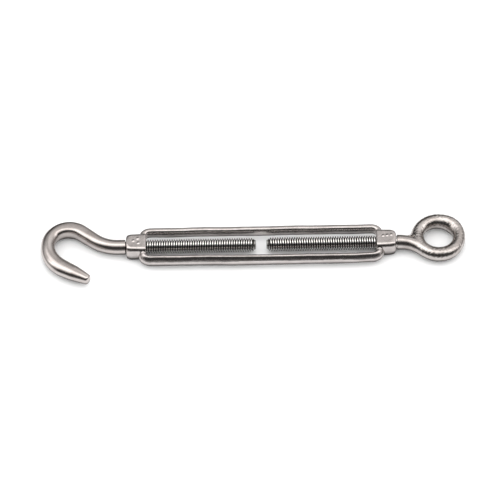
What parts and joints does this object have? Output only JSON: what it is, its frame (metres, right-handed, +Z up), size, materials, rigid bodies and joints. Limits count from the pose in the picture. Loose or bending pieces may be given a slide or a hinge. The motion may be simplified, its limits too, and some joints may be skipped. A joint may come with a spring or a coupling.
{
  "type": "rigging turnbuckle",
  "caption": "Open-frame rigging turnbuckle: cast frame with opposite-handed threaded bosses, an open hook at one end and a closed eye at the other.",
  "frame": {"origin": "middle of the base of the whole object's box, on the plane of the frame's boss undersides; the screw axis is 5.3 mm above it and 3.9 mm to +Y, and the frame's own middle is 4.5 mm to +X", "axes": "+X along the screw axis towards the eye, +Z up out of the plane in which the hook and the eye lie, +Y to the hook's back"},
  "size_m": [0.2497, 0.0466, 0.0106],
  "materials": {
    "cast_stainless": "tumbled and hand-polished stainless casting",
    "forged_stainless": "polished stainless forging with cut threads",
    "cut_stainless": "turned stainless"
  },
  "bodies": {
    "frame": {"frame": "cast_stainless"},
    "hook_slide": {"hook_rod_tip": "cut_stainless"},
    "hook_bolt": {"hook_bolt": "forged_stainless"},
    "eye_slide": {"eye_rod_tip": "cut_stainless"},
    "eye_bolt": {"eye_bolt": "forged_stainless"}
  },
  "joints": [
    {"name": "hook_travel", "type": "slide", "parent": "frame", "child": "hook_slide", "axis": [-1, 0, 0], "range_m": [0, 0.0636]},
    {"name": "hook_turn", "type": "hinge", "parent": "hook_slide", "child": "hook_bolt", "pos_m": [-0.08555, 0.00395, 0.0053], "axis": [1, 0, 0], "range_deg": [0, 16200]},
    {"name": "eye_travel", "type": "slide", "parent": "frame", "child": "eye_slide", "axis": [1, 0, 0], "range_m": [0, 0.0636]},
    {"name": "eye_turn", "type": "hinge", "parent": "eye_slide", "child": "eye_bolt", "pos_m": [0.09445, 0.00395, 0.0053], "axis": [1, 0, 0], "range_deg": [0, 16200]}
  ],
  "couplings": [
    {"joint": "hook_travel", "follows": "hook_turn", "m_per_rad": 0.00022459},
    {"joint": "eye_travel", "follows": "eye_turn", "m_per_rad": 0.00022459}
  ]
}
